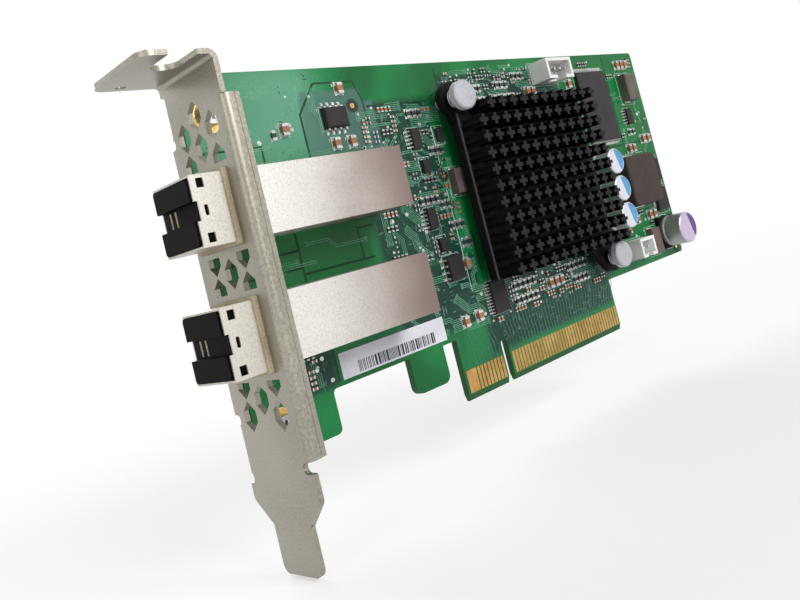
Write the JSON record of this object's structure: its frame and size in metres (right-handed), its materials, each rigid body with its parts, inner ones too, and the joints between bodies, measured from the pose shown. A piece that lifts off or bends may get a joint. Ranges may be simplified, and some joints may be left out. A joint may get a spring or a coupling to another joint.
{
  "type": "SAS expander card",
  "caption": "Low-profile expander card with a slotted sheet bracket, two port cages, a pin-fin heat sink, can capacitors and a gold edge tongue.",
  "frame": {"origin": "lower end of the edge tongue nearest the bracket, on the board's component face", "axes": "+X from the bracket to the rear of the card, +Z from the edge tongue to the top edge, the component face looks along -Y"},
  "size_m": [0.1443, 0.0187, 0.0798],
  "materials": {
    "board_green": "solder mask, semi-gloss",
    "gold": "gold plated",
    "bracket_steel": "satin",
    "cage_metal": "satin",
    "gasket_tan": "matte",
    "black_plastic": "matte",
    "black_aluminium": "black anodised",
    "white_plastic": "satin",
    "chip_black": "matte",
    "lead_tin": "tinned",
    "screw_steel": "zinc plated",
    "spring_steel": "bright",
    "nickel_lid": "nickel plated",
    "green_laminate": "matte",
    "grey_pad": "matte",
    "can_aluminium": "satin",
    "inductor_grey": "matte",
    "tantalum_black": "matte",
    "capacitor_brown": "satin",
    "resistor_black": "satin",
    "paper_white": "matte"
  },
  "bodies": {
    "root": {"circuit_board": "board_green", "edge_contacts_front": "gold", "edge_contacts_rear": "gold", "bracket": "bracket_steel", "bracket_screws": "screw_steel", "ground_pads": "gold", "upper_port_cage": "cage_metal", "lower_port_cage": "cage_metal", "upper_port_gasket": "gasket_tan", "lower_port_gasket": "gasket_tan", "upper_port_connector": "black_plastic", "lower_port_connector": "black_plastic", "upper_port_contacts": "gold", "lower_port_contacts": "gold", "upper_dust_plug": "black_plastic", "lower_dust_plug": "black_plastic", "controller_substrate": "green_laminate", "controller_lid": "nickel_lid", "thermal_pad": "grey_pad", "heat_sink": "black_aluminium", "push_pins": "white_plastic", "push_pin_springs": "spring_steel", "memory_chip": "chip_black", "memory_chip_leads": "lead_tin", "eight_lead_chips": "chip_black", "eight_lead_chip_leads": "lead_tin", "interface_chip": "chip_black", "interface_chip_leads": "lead_tin", "slim_chips": "chip_black", "slim_chip_leads": "lead_tin", "leadless_chips": "chip_black", "fan_header_housing": "white_plastic", "fan_header_pins": "lead_tin", "service_connector_housing": "white_plastic", "service_connector_pins": "lead_tin", "power_inductor": "inductor_grey", "small_cans": "can_aluminium", "small_can_bases": "black_plastic", "large_can": "can_aluminium", "large_can_base": "black_plastic", "power_transistors": "chip_black", "tantalum_capacitor": "tantalum_black", "ferrite_blocks": "inductor_grey", "chip_capacitors": "capacitor_brown", "solder_side_capacitors": "capacitor_brown", "chip_resistors": "resistor_black", "fiducials": "gold", "barcode_label": "paper_white"}
  },
  "joints": []
}
